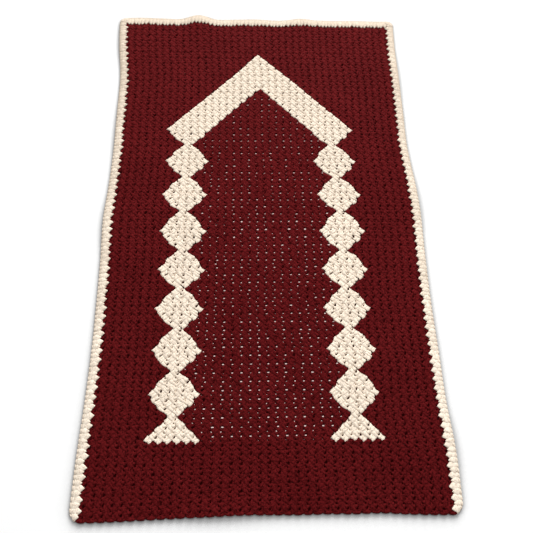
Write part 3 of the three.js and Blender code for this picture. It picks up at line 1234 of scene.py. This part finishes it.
@dataclass
class GroundSheets:
    """The thin sheets inside the yarn: its inner layers, seen only down the slits."""

    plan: Plan
    chart: Chart
    path: EdgePath
    low: float = 2.3
    thickness: float = 1.2
    rim: float = 4.0
    hole_inset: float = 3.2
    blocked_share: float = 0.06
    # One cell of the field's sheet to a slit: how many across, and where the grid's lines lie on the chart
    cells_across: int = 39
    line_column: float = 19.325
    line_row: float = 0.175
    strip_steps: int = 240
    strip_outer: float = 3.0
    strip_inner: float = 17.0
    strip_corner: float = 12.4
    strip_ends: float = 4.0
    seed: int = 5

    def field_sheet(self) -> bpy.types.Object:
        """Makes the field's sheet, with a hole at each open slit of the panel.

        Returns:
            The sheet.
        """
        random = np.random.RandomState(self.seed)
        chart = self.chart
        half = self.plan.field_half_width - 1.0
        top = self.plan.field_length - 1.0
        columns = self.cells_across
        rows = chart.last_row + 1

        def build(bm: bmesh.types.BMesh) -> None:
            """Fills the mesh with one cell to a slit, and opens the cells that have a hole."""
            made = bmesh.ops.create_grid(bm, x_segments=columns, y_segments=rows, size=0.5)
            low_x, low_y = (min(v.co[k] for v in made["verts"]) for k in (0, 1))
            places = {}
            for v in made["verts"]:
                i = round((v.co.x - low_x) * columns)
                j = round((v.co.y - low_y) * rows)
                x = float(chart.across(i - self.line_column))
                y = float(chart.along(j - self.line_row))
                x = -half if i == 0 else half if i == columns else x
                y = self.rim if j == 0 else top if j == rows else y
                v.co = (x, y, 0.0)
                places[v] = (i, j)
            cells = []
            for face in bm.faces:
                i, j = (min(places[v][k] for v in face.verts) for k in (0, 1))
                row = j - 1
                column = i - int(self.line_column)
                beside = (column, column - chart.lean(row).value)
                open_slit = all(chart.in_panel(row, chart.out(row, c)) for c in beside)
                if open_slit and random.uniform() > self.blocked_share:
                    cells.append(face)
            bmesh.ops.inset_individual(bm, faces=cells, thickness=self.hole_inset, use_even_offset=True)
            bmesh.ops.delete(bm, geom=cells, context="FACES")
            self._thicken(bm)

        sheet = finished_mesh("field_sheet", build)
        lay_out(sheet.data, self.plan, chart.by_hand)
        return sheet

    def edging_sheet(self) -> bpy.types.Object:
        """Makes the edging's sheet: a strip bent round three sides.

        Returns:
            The sheet.
        """
        def build(bm: bmesh.types.BMesh) -> None:
            """Draws the strip out step by step along the edge."""
            row: list[bmesh.types.BMVert] = []
            edges: list[bmesh.types.BMEdge] = []
            for step in range(self.strip_steps + 1):
                distance = self.strip_ends + (self.path.total - 2 * self.strip_ends) * step / self.strip_steps
                x, y, turn, corner = self.path.at(distance)
                inward = Vector((math.sin(turn), -math.cos(turn), 0))
                reach = self.strip_corner if corner else self.strip_inner
                places = [Vector((x, y, 0)) + inward * depth for depth in (self.strip_outer, reach)]
                if not row:
                    row = [bm.verts.new(p) for p in places]
                    edges = [bm.edges.new(row)]
                    continue
                made = bmesh.ops.extrude_edge_only(bm, edges=edges)
                row = [g for g in made["geom"] if isinstance(g, bmesh.types.BMVert)]
                edges = [e for e in made["geom"] if isinstance(e, bmesh.types.BMEdge) and set(e.verts) == set(row)]
                for v in row:
                    v.co = min(places, key=lambda p: (p - v.co).length)
            self._thicken(bm)

        sheet = finished_mesh("edging_sheet", build)
        lay_out(sheet.data, self.plan)
        return sheet

    def _thicken(self, bm: bmesh.types.BMesh) -> None:
        """Gives a flat mesh the sheets' thickness and puts it at their height.

        Args:
            bm: The mesh.
        """
        bmesh.ops.solidify(bm, geom=bm.faces[:], thickness=self.thickness)
        lowest = min(v.co.z for v in bm.verts)
        bmesh.ops.translate(bm, verts=bm.verts, vec=(0, 0, self.low - lowest))
        # Solidify lists the rim's faces in another order each run
        order = {f: number for number, f in enumerate(sorted(bm.faces, key=lambda f: tuple(f.calc_center_median())))}
        bm.faces.sort(key=order.get)


class Nodes:
    """A small helper that adds linked nodes to a material or a group."""

    def __init__(self, tree: bpy.types.NodeTree) -> None:
        """Works on that tree."""
        self.tree = tree

    def add(self, kind: str, inputs: dict | None = None, **settings: object) -> bpy.types.Node:
        """Adds a node.

        Args:
            kind: Its type.
            inputs: A value or an output socket for each named or numbered input.
            **settings: Its properties.

        Returns:
            The node.
        """
        node = self.tree.nodes.new(kind)
        for name, value in settings.items():
            setattr(node, name, value)
        self.feed(node, inputs or {})
        return node

    def feed(self, node: bpy.types.Node, inputs: dict) -> None:
        """Links or sets a node's inputs.

        Args:
            node: The node.
            inputs: A value or an output socket for each named or numbered input.
        """
        for name, value in inputs.items():
            if isinstance(value, bpy.types.NodeSocket):
                self.tree.links.new(value, node.inputs[name])
            else:
                node.inputs[name].default_value = value

    def math(self, operation: str, *values: object) -> bpy.types.NodeSocket:
        """The result of a Math node on those values."""
        return self.add("ShaderNodeMath", dict(enumerate(values)), operation=operation).outputs[0]

    def mix(self, share: object, first: object, second: object) -> bpy.types.NodeSocket:
        """Mixes two colours.

        Args:
            share: Of the second colour.
            first: The first colour.
            second: The second colour.

        Returns:
            The mixed colour.
        """
        return self.add("ShaderNodeMix", {0: share, 6: first, 7: second}, data_type="RGBA").outputs[2]


def ply_group() -> bpy.types.NodeTree:
    """The yarn's surface: plies twisted round a strand, and fibres along them.

    Returns:
        A group that takes a strand's UV and a place, and puts out a height, fuzz and mottle.
    """
    tree = bpy.data.node_groups.new("yarn_plies", "ShaderNodeTree")
    for name in ("Strand UV", "Place"):
        tree.interface.new_socket(name=name, in_out="INPUT", socket_type="NodeSocketVector")
    for name in ("Plies", "Twist", "Fuzz Scale", "Mottle Scale"):
        tree.interface.new_socket(name=name, in_out="INPUT", socket_type="NodeSocketFloat")
    for name in ("Height", "Fuzz", "Mottle"):
        tree.interface.new_socket(name=name, in_out="OUTPUT", socket_type="NodeSocketFloat")
    nodes = Nodes(tree)
    source = nodes.add("NodeGroupInput")
    split = nodes.add("ShaderNodeSeparateXYZ", {0: source.outputs["Strand UV"]})
    around = nodes.math("MULTIPLY", split.outputs[0], source.outputs["Plies"])
    along = nodes.math("MULTIPLY", split.outputs[1], source.outputs["Twist"])
    phase = nodes.math("MULTIPLY", nodes.math("ADD", around, along), math.tau)
    ply = nodes.math("MULTIPLY_ADD", nodes.math("SINE", phase), 0.5, 0.5)
    fuzz = nodes.add("ShaderNodeTexNoise", {
        "Vector": source.outputs["Place"], "Scale": source.outputs["Fuzz Scale"],
        "Detail": 3.0, "Roughness": 0.6})
    mottle = nodes.add("ShaderNodeTexNoise", {
        "Vector": source.outputs["Place"], "Scale": source.outputs["Mottle Scale"],
        "Detail": 2.0, "Roughness": 0.7})
    ply_height = nodes.math("POWER", ply, 0.6)
    height = nodes.math("MULTIPLY_ADD", fuzz.outputs[0], 0.5, ply_height)
    nodes.add("NodeGroupOutput", {"Height": height, "Fuzz": fuzz.outputs[0], "Mottle": mottle.outputs[0]})
    return tree


@dataclass(frozen=True)
class YarnFinish:
    """A spun yarn's finish.

    Colours are linear. The shade and fleck colour is painted shade where the yarn lies low in the
    cloth, and the colour of its own dark flecks. The light colour is that of the lightest stitches;
    the tone moves towards it at random, and with painted light along the mat towards the head.
    """

    name: str
    colour: tuple[float, float, float]
    shade_and_fleck_colour: tuple[float, float, float]
    light: tuple[float, float, float]
    roughness: float = 0.89
    fuzz_roughness: float = 0.08
    specular: float = 0.05
    plies: float = 4.0
    twist: float = 0.32
    fuzz_scale: float = 900.0
    mottle_scale: float = 300.0
    patch_scale: float = 9.0
    # How much each of these moves the tone from the mean one
    mean_tone: float = 0.25
    stitch_tone: float = 0.35
    patch_tone: float = 0.9
    mottle: float = 1.0
    # Painted light: the tone's steady change for each metre towards the head, positive in the burgundy and negative
    # in the cream
    headward_painted_light: float = 0.0
    # Depths, as shares of the thickness, between which painted shade darkens the yarn low in the cloth, and mottle
    # values between which it darkens in its own flecks
    painted_shade_depths: tuple[float, float] = (0.2, 0.72)
    fleck_values: tuple[float, float] = (0.5, 0.32)
    depth_painted_shade: float = 1.0
    bump: float = 0.5
    bump_distance: float = 0.0006

    def material(self, plies: bpy.types.NodeTree) -> bpy.types.Material:
        """Makes the material.

        Args:
            plies: The shared group of the yarn's surface.

        Returns:
            The material.
        """
        made = bpy.data.materials.new(self.name)
        made.use_nodes = True
        nodes = Nodes(made.node_tree)
        where = nodes.add("ShaderNodeTexCoord")
        surface = nodes.add("ShaderNodeGroup", {
            "Strand UV": where.outputs["UV"], "Place": where.outputs["Object"],
            "Plies": self.plies, "Twist": self.twist,
            "Fuzz Scale": self.fuzz_scale, "Mottle Scale": self.mottle_scale}, node_tree=plies)
        tone = self._tone(nodes, where.outputs["Object"], surface.outputs["Mottle"])
        body = nodes.mix(tone, (*self.colour, 1.0), (*self.light, 1.0))
        # Painted shade low in the cloth, together with the yarn's own dark flecks
        dark = self._painted_shade_and_flecks(nodes, surface.outputs["Mottle"])
        rough = nodes.math("MULTIPLY_ADD", surface.outputs["Fuzz"], self.fuzz_roughness, self.roughness)
        bump = nodes.add("ShaderNodeBump", {
            "Strength": self.bump, "Distance": self.bump_distance, "Height": surface.outputs["Height"]})
        nodes.feed(made.node_tree.nodes["Principled BSDF"], {
            "Base Color": nodes.mix(dark, body, (*self.shade_and_fleck_colour, 1.0)), "Roughness": rough,
            "Specular IOR Level": self.specular, "Normal": bump.outputs[0]})
        return made

    def _tone(
        self, nodes: Nodes, place: bpy.types.NodeSocket, mottle: bpy.types.NodeSocket,
    ) -> bpy.types.NodeSocket:
        """How light the yarn is: by stitch, by patch, by fleck, and with painted light towards the head.

        Args:
            nodes: The material's nodes.
            place: The Object coordinates.
            mottle: The yarn's mottle.

        Returns:
            The tone, from 0 for the body colour to 1 for the light one.
        """
        stitch = nodes.add("ShaderNodeAttribute", attribute_name="shade").outputs["Fac"]
        patches = nodes.add("ShaderNodeTexNoise", {"Vector": place, "Scale": self.patch_scale, "Detail": 2.0})
        split = nodes.add("ShaderNodeSeparateXYZ", {0: place})
        # Painted light along the mat: the tone changes steadily towards the head
        tone = nodes.math("MULTIPLY", split.outputs[1], self.headward_painted_light)
        tone = nodes.math("MULTIPLY_ADD", stitch, self.stitch_tone, tone)
        tone = nodes.math("MULTIPLY_ADD", nodes.math("SUBTRACT", patches.outputs[0], 0.5), self.patch_tone, tone)
        flecks = nodes.math("MULTIPLY", nodes.math("SUBTRACT", mottle, 0.5), 2.0 * self.mottle)
        tone = nodes.math("ADD", nodes.math("ADD", tone, flecks), self.mean_tone)
        return nodes.add("ShaderNodeClamp", {0: tone}).outputs[0]

    def _painted_shade_and_flecks(self, nodes: Nodes, mottle: bpy.types.NodeSocket) -> bpy.types.NodeSocket:
        """How dark the yarn is: painted shade where it lies low, and its own dark flecks.

        Args:
            nodes: The material's nodes.
            mottle: The yarn's mottle.

        Returns:
            The share of the shade and fleck colour.
        """
        depth = nodes.add("ShaderNodeAttribute", attribute_name="depth").outputs["Fac"]
        lowest, highest = self.painted_shade_depths
        # Painted shade: the lower a point lies in the cloth, the darker the yarn
        low = nodes.add("ShaderNodeMapRange", {0: depth, 1: lowest, 2: highest, 3: self.depth_painted_shade, 4: 0.0})
        first, full = self.fleck_values
        fleck = nodes.add("ShaderNodeMapRange", {0: mottle, 1: first, 2: full, 3: 0.0, 4: self.mottle})
        return nodes.math("MAXIMUM", low.outputs[0], fleck.outputs[0])


@dataclass(frozen=True)
class ShadedGroundFinish:
    """The finish of the inner sheets: the same yarn, coloured darker than the yarn's own finish as painted shade
    within the cloth.
    """

    name: str
    colour: tuple[float, float, float]
    dark: tuple[float, float, float]
    scale: float = 420.0
    roughness: float = 0.88
    fibre_roughness: float = 0.1
    bump: float = 0.6
    bump_distance: float = 0.0006

    def material(self) -> bpy.types.Material:
        """Makes the material.

        Returns:
            The material.
        """
        made = bpy.data.materials.new(self.name)
        made.use_nodes = True
        nodes = Nodes(made.node_tree)
        where = nodes.add("ShaderNodeTexCoord")
        fibres = nodes.add("ShaderNodeTexNoise", {
            "Vector": where.outputs["Object"], "Scale": self.scale, "Detail": 3.0}).outputs[0]
        bump = nodes.add("ShaderNodeBump", {"Strength": self.bump, "Distance": self.bump_distance, "Height": fibres})
        nodes.feed(made.node_tree.nodes["Principled BSDF"], {
            "Base Color": nodes.mix(fibres, (*self.dark, 1.0), (*self.colour, 1.0)),
            "Roughness": nodes.math("MULTIPLY_ADD", fibres, self.fibre_roughness, self.roughness),
            "Specular IOR Level": 0.0, "Normal": bump.outputs[0]})
        return made


# Painted light: the burgundy yarn lightens towards the head, and the cream yarns darken
BURGUNDY_YARN = YarnFinish(
    "burgundy_yarn", (0.078, 0.0036, 0.0044), (0.02, 0.0006, 0.0008), (0.122, 0.0075, 0.0085), headward_painted_light=0.3)
CREAM_YARN = YarnFinish(
    "cream_yarn", (0.7, 0.6, 0.49), (0.42, 0.3, 0.2), (0.86, 0.74, 0.61), mottle=0.5, headward_painted_light=-0.7,
    depth_painted_shade=0.8)
# Painted shade: the edging's finish is a darker copy of the cream yarn's, darkest towards the head
CREAM_EDGING_SHADED = YarnFinish(
    "cream_edging", (0.6, 0.51, 0.41), (0.4, 0.28, 0.19), (0.88, 0.77, 0.64), mottle=0.55, headward_painted_light=-0.9,
    depth_painted_shade=0.85)
# Painted shade: the inner sheets' colours are darker than the yarn's
BURGUNDY_GROUND_SHADED = ShadedGroundFinish("burgundy_ground", (0.03, 0.0018, 0.0022), (0.012, 0.0006, 0.0008))
CREAM_GROUND_SHADED = ShadedGroundFinish("cream_ground", (0.35, 0.26, 0.18), (0.2, 0.14, 0.09))


class Lamp(NamedTuple):
    """A round soft lamp that faces the mat's middle, in metres and watts."""

    name: str
    place: tuple[float, float, float]
    size: float
    power: float


LAMPS = (
    Lamp("head_lamp", (1.3, 3.8, 2.8), 2.2, 150.0),
    Lamp("low_lamp", (0.7, 4.3, 1.45), 1.5, 95.0),
    Lamp("top_lamp", (0.3, 0.6, 2.8), 1.6, 38.0),
)


@dataclass
class Studio:
    """The floor, the light and the camera, which is where the photo was taken from."""

    plan: Plan
    target: tuple[float, float] = (3.435, -112.609)
    azimuth: float = -6.021
    elevation: float = 66.0
    roll: float = 5.257
    distance: float = 1193.8
    lens: float = 37.82
    floor_size: float = 8.0
    floor_white: float = 0.86
    surround: float = 0.5
    glow: float = 0.75
    glow_tint: tuple[float, float, float] = (1.0, 0.75, 0.7)
    glow_half_width: float = 0.17
    glow_half_length: float = 0.43
    glow_middle: float = -0.04
    contact_shadow_reach: float = 0.03
    contact_shadow_power: float = 4.0
    contact_shadow_least: float = 0.5

    def camera(self) -> None:
        """Places the camera."""
        a, e, r = (math.radians(v) for v in (self.azimuth, self.elevation, self.roll))
        back = Vector((math.sin(a) * math.cos(e), -math.cos(a) * math.cos(e), math.sin(e)))
        level = Vector((math.cos(a), math.sin(a), 0))
        up = back.cross(level)
        right = math.cos(r) * level + math.sin(r) * up
        top = -math.sin(r) * level + math.cos(r) * up
        aim = Vector((self.target[0] + self.plan.shift[0], self.target[1] + self.plan.shift[1], 0))
        place = (aim + back * self.distance) * MM
        data = bpy.data.cameras.new("camera")
        data.lens = self.lens
        data.sensor_width = 36.0
        data.clip_end = 50.0
        made = bpy.data.objects.new("camera", data)
        turn = Matrix((right, top, back)).transposed().to_4x4()
        made.matrix_world = Matrix.Translation(place) @ turn
        bpy.context.scene.collection.objects.link(made)
        bpy.context.scene.camera = made

    def floor(self) -> None:
        """Lays a plain white floor with a painted contact shadow close to the mat, and painted light: it glows a
        little under the mat's panel.
        """
        def build(bm: bmesh.types.BMesh) -> None:
            """Fills the mesh with one square."""
            bmesh.ops.create_grid(bm, x_segments=1, y_segments=1, size=self.floor_size)

        floor = finished_mesh("floor", build)
        made = bpy.data.materials.new("floor_white")
        made.use_nodes = True
        nodes = Nodes(made.node_tree)
        # Painted contact shadow: the floor's colour darkens where the mat stands close by
        contact_occlusion = nodes.add("ShaderNodeAmbientOcclusion", {"Distance": self.contact_shadow_reach}, samples=8).outputs["AO"]
        unshadowed_share = nodes.math("MAXIMUM", nodes.math("POWER", contact_occlusion, self.contact_shadow_power), self.contact_shadow_least)
        # Painted light: the floor glows under the mat's panel, so that the pin holes there show bright
        where = nodes.add("ShaderNodeTexCoord")
        split = nodes.add("ShaderNodeSeparateXYZ", {0: where.outputs["Object"]})
        across = nodes.math("ABSOLUTE", split.outputs[0])
        along = nodes.math("ABSOLUTE", nodes.math("SUBTRACT", split.outputs[1], self.glow_middle))
        in_width = nodes.math("LESS_THAN", across, self.glow_half_width)
        in_length = nodes.math("LESS_THAN", along, self.glow_half_length)
        nodes.feed(made.node_tree.nodes["Principled BSDF"], {
            "Base Color": nodes.math("MULTIPLY", unshadowed_share, self.floor_white), "Roughness": 1.0,
            "Specular IOR Level": 0.0, "Emission Color": (*self.glow_tint, 1.0),
            "Emission Strength": nodes.math("MULTIPLY", nodes.math("MULTIPLY", in_width, in_length), self.glow)})
        floor.data.materials.append(made)

    def light(self) -> None:
        """Sets a white surrounding and the soft lamps."""
        world = bpy.data.worlds.new("studio")
        world.use_nodes = True
        background = world.node_tree.nodes["Background"]
        background.inputs["Color"].default_value = (1.0, 1.0, 1.0, 1.0)
        background.inputs["Strength"].default_value = self.surround
        bpy.context.scene.world = world
        for lamp in LAMPS:
            data = bpy.data.lights.new(lamp.name, "AREA")
            data.shape = "DISK"
            data.size = lamp.size
            data.energy = lamp.power
            made = bpy.data.objects.new(lamp.name, data)
            made.location = lamp.place
            made.rotation_euler = (-Vector(lamp.place)).to_track_quat("-Z", "Y").to_euler()
            bpy.context.scene.collection.objects.link(made)

    def build(self) -> None:
        """Sets the whole studio."""
        self.floor()
        self.light()
        self.camera()
        bpy.context.scene.view_settings.view_transform = "Standard"


@dataclass
class PrayerMat:
    """The whole mat: its sheets, its yarn and their finishes."""

    plan: Plan
    chart: Chart

    def build(self) -> list[bpy.types.Object]:
        """Builds and dresses every piece, and attaches it to the mat's body.

        Returns:
            The pieces.
        """
        worker = StitchWorker(self.plan, stitch_templates())
        path = EdgePath(self.plan)
        grounds = GroundSheets(self.plan, self.chart, path)
        burgundy, cream = FieldYarn(self.plan, self.chart, worker).build()
        burgundy.append(FootChain(self.plan, self.chart, worker).build())
        cream.append(PatternTails(self.chart, worker).build())
        edging = list(EdgingYarn(self.plan, worker, path).build())
        worker.put_away()
        field_sheet = grounds.field_sheet()
        edging_sheet = grounds.edging_sheet()
        plies = ply_group()
        dressed = (
            (burgundy, BURGUNDY_YARN.material(plies), "burgundy_yarn"),
            (cream, CREAM_YARN.material(plies), "cream_yarn"),
            (edging, CREAM_EDGING_SHADED.material(plies), "cream_yarn"),
            ([field_sheet], BURGUNDY_GROUND_SHADED.material(), "burgundy_yarn"),
            ([edging_sheet], CREAM_GROUND_SHADED.material(), "cream_yarn"),
        )
        for pieces, material, slot in dressed:
            for piece in pieces:
                piece.data.materials.clear()
                piece.data.materials.append(material)
                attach(piece, BODY)
        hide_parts("field")
        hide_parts("edging")
        return [field_sheet, edging_sheet, *burgundy, *cream, *edging]


def main() -> None:
    """Builds the studio and the mat, and logs each piece's face count."""
    logging.basicConfig(level=logging.INFO, format="%(name)s: %(message)s")
    plan = Plan()
    low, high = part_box("edging")
    plan.settle(low[0] / MM, high[1] / MM)
    Studio(plan).build()
    for piece in PrayerMat(plan, Chart(plan)).build():
        LOG.info("%s: %d faces", piece.name, len(piece.data.polygons))


if __name__ == "__main__":
    main()
